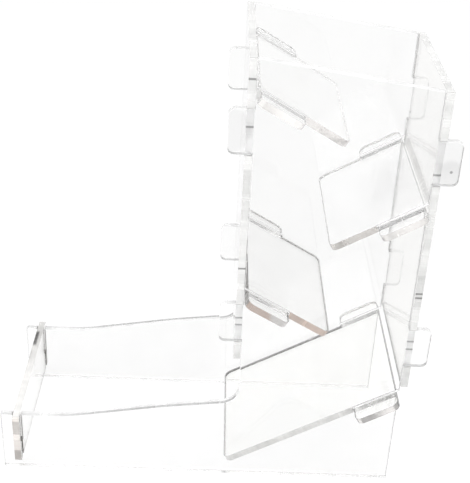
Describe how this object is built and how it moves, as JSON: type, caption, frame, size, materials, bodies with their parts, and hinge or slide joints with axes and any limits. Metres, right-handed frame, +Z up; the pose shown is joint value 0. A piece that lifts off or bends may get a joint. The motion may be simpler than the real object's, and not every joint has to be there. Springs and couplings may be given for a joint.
{
  "type": "dice tower",
  "caption": "Clear sheet dice tower that slots together, with an open top, slanted ramps inside and a low catch tray in front.",
  "frame": {"origin": "centre of the footprint's bounding box, on the surface the side panels stand on", "axes": "+Z up, -X out of the tray's open front end, +X towards the back wall, Y across the tower between the side panels; the XZ plane is the mirror plane"},
  "size_m": [0.185, 0.084, 0.2],
  "materials": {
    "clear_acrylic": "polished faces, laser-cut edges"
  },
  "bodies": {
    "root": {"side_panel_left": "clear_acrylic", "side_panel_right": "clear_acrylic", "front_wall": "clear_acrylic", "back_wall": "clear_acrylic", "ramp_1_upper_front": "clear_acrylic", "ramp_2_middle_back": "clear_acrylic", "ramp_3_lower_front": "clear_acrylic", "ramp_4_exit": "clear_acrylic", "tray_end_board": "clear_acrylic"}
  },
  "joints": []
}
